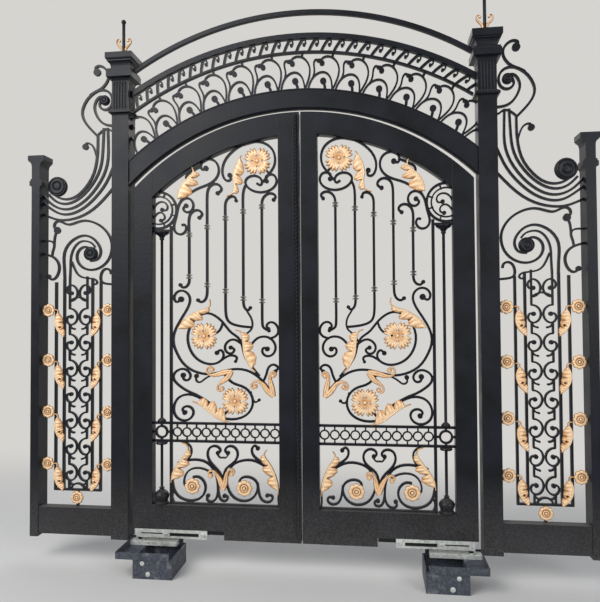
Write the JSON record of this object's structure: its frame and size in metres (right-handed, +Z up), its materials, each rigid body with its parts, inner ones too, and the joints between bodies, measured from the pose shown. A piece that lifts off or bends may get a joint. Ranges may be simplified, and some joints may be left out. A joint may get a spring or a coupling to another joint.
{
  "type": "wrought iron driveway gate",
  "caption": "Double-leaf arched wrought iron gate between capped posts, with a scrollwork overthrow, side panels, gilded flowers and leaves and underground operator boxes.",
  "frame": {"origin": "centre of the foot of the left main post, on the ground", "axes": "+X along the gate to the right as seen from the street, +Y inwards through the gate, +Z up"},
  "size_m": [3.192, 0.295, 3.149],
  "materials": {
    "black_enamel": "glossy black enamel on iron, dusty near the ground",
    "gold_paint": "pale gold paint on castings, darker in the hollows",
    "galvanised": "dull galvanised steel",
    "box_paint": "black painted steel box, scuffed with cement"
  },
  "bodies": {
    "gate_frame": {"left_main_post": "black_enamel", "right_main_post": "black_enamel", "left_outer_post": "black_enamel", "right_outer_post": "black_enamel", "arch_beam": "black_enamel", "frieze_scrolls": "black_enamel", "wave_band": "black_enamel", "top_arch_bar": "black_enamel", "finial_rods": "black_enamel", "finial_leaves": "gold_paint", "left_side_rail": "black_enamel", "right_side_rail": "black_enamel", "left_lattice": "black_enamel", "right_lattice": "black_enamel", "left_side_scrolls": "black_enamel", "right_side_scrolls": "black_enamel", "left_side_gilding": "gold_paint", "right_side_gilding": "gold_paint", "left_foundation_box": "box_paint", "right_foundation_box": "box_paint", "left_pivot_seat": "galvanised", "right_pivot_seat": "galvanised"},
    "left_leaf": {"left_hinge_stile": "black_enamel", "left_meeting_stile": "black_enamel", "left_top_rail": "black_enamel", "left_bottom_rail": "black_enamel", "left_column": "black_enamel", "left_medallion": "black_enamel", "left_pickets": "black_enamel", "left_top_scrolls": "black_enamel", "left_middle_scrolls": "black_enamel", "left_ring_band": "black_enamel", "left_lower_scrolls": "black_enamel", "left_gilding": "gold_paint", "left_pivot_lever": "galvanised", "meeting_strip": "black_enamel"},
    "right_leaf": {"right_hinge_stile": "black_enamel", "right_meeting_stile": "black_enamel", "right_top_rail": "black_enamel", "right_bottom_rail": "black_enamel", "right_column": "black_enamel", "right_medallion": "black_enamel", "right_pickets": "black_enamel", "right_top_scrolls": "black_enamel", "right_middle_scrolls": "black_enamel", "right_ring_band": "black_enamel", "right_lower_scrolls": "black_enamel", "right_gilding": "gold_paint", "right_pivot_lever": "galvanised"}
  },
  "joints": [
    {"name": "left_leaf_hinge", "type": "hinge", "parent": "gate_frame", "child": "left_leaf", "pos_m": [0.11, 0, 0], "axis": [0, 0, 1], "range_deg": [0, 90]},
    {"name": "right_leaf_hinge", "type": "hinge", "parent": "gate_frame", "child": "right_leaf", "pos_m": [1.946, 0, 0], "axis": [0, 0, -1], "range_deg": [0, 90]}
  ]
}
